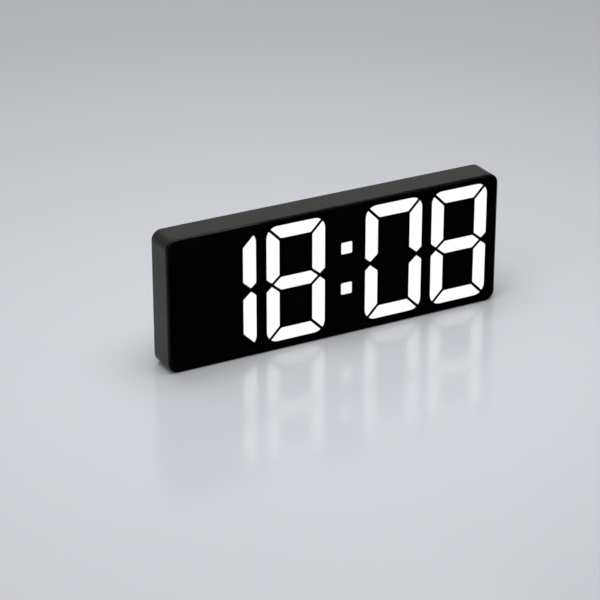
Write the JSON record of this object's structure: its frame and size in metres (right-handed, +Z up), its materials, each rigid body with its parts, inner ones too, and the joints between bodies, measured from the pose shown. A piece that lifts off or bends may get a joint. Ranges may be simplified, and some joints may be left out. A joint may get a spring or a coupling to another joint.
{
  "type": "digital desk clock",
  "caption": "Digital LED desk clock: a flat body with a full smoked front lens over large seven-segment digits, and a rear housing with keys, power socket and battery bay.",
  "frame": {"origin": "middle of the base, on the table, halfway between the front of the lens and the back", "axes": "+X to the right seen from the front, +Y from the front to the back, +Z up"},
  "size_m": [0.16, 0.025, 0.06],
  "materials": {
    "smoked_acrylic": "smoked acrylic",
    "adhesive": "adhesive",
    "matt_abs": "matt abs",
    "mask_film": "mask film",
    "white_abs": "white abs",
    "lit_diffuser": "lit diffuser",
    "dark_diffuser": "dark diffuser",
    "led_package": "led package",
    "circuit_board": "circuit board",
    "chip_mould": "chip mould",
    "black_plastic": "black plastic",
    "nickel_plate": "nickel plate",
    "screw_steel": "screw steel",
    "cell_sleeve": "cell sleeve",
    "red_insulation": "red insulation",
    "black_insulation": "black insulation"
  },
  "bodies": {
    "clock": {"front_lens": "smoked_acrylic", "lens_adhesive": "adhesive", "case_shell": "matt_abs", "rear_cover": "matt_abs", "display_mask": "mask_film", "display_light_box": "white_abs", "hour_tens_lit": "lit_diffuser", "hour_tens_dark": "dark_diffuser", "hour_units_lit": "lit_diffuser", "minute_tens_lit": "lit_diffuser", "minute_tens_dark": "dark_diffuser", "minute_units_lit": "lit_diffuser", "colon_dots": "lit_diffuser", "led_chips": "led_package", "main_board": "circuit_board", "main_board_screws": "screw_steel", "clock_chip": "chip_mould", "timing_crystal": "nickel_plate", "reservoir_capacitor": "black_plastic", "chip_resistors": "chip_mould", "buzzer": "black_plastic", "control_board": "circuit_board", "control_board_screws": "screw_steel", "header_base": "black_plastic", "header_pins": "nickel_plate", "switch_bodies": "black_plastic", "power_socket_shell": "nickel_plate", "power_socket_tongue": "black_plastic", "positive_plate": "nickel_plate", "negative_plate": "nickel_plate", "right_link_plate": "nickel_plate", "left_link_plate": "nickel_plate", "battery_springs": "nickel_plate", "battery_cell_1": "cell_sleeve", "battery_cell_2": "cell_sleeve", "battery_cell_3": "cell_sleeve", "red_battery_lead": "red_insulation", "black_battery_lead": "black_insulation", "case_screws": "screw_steel"},
    "battery_door": {"battery_door": "matt_abs"},
    "set_key": {"set_key": "matt_abs", "set_switch_plunger": "black_plastic"},
    "up_key": {"up_key": "matt_abs", "up_switch_plunger": "black_plastic"},
    "down_key": {"down_key": "matt_abs", "down_switch_plunger": "black_plastic"},
    "alarm_key": {"alarm_key": "matt_abs", "alarm_switch_plunger": "black_plastic"}
  },
  "joints": [
    {"name": "battery_door_slide", "type": "slide", "parent": "clock", "child": "battery_door", "axis": [0, 0, 1], "range_m": [0, 0.036]},
    {"name": "set_key_press", "type": "slide", "parent": "clock", "child": "set_key", "axis": [0, -1, 0], "range_m": [0, 0.0005], "stiffness_N_per_m": 1500},
    {"name": "up_key_press", "type": "slide", "parent": "clock", "child": "up_key", "axis": [0, -1, 0], "range_m": [0, 0.0005], "stiffness_N_per_m": 1500},
    {"name": "down_key_press", "type": "slide", "parent": "clock", "child": "down_key", "axis": [0, -1, 0], "range_m": [0, 0.0005], "stiffness_N_per_m": 1500},
    {"name": "alarm_key_press", "type": "slide", "parent": "clock", "child": "alarm_key", "axis": [0, -1, 0], "range_m": [0, 0.0005], "stiffness_N_per_m": 1500}
  ]
}
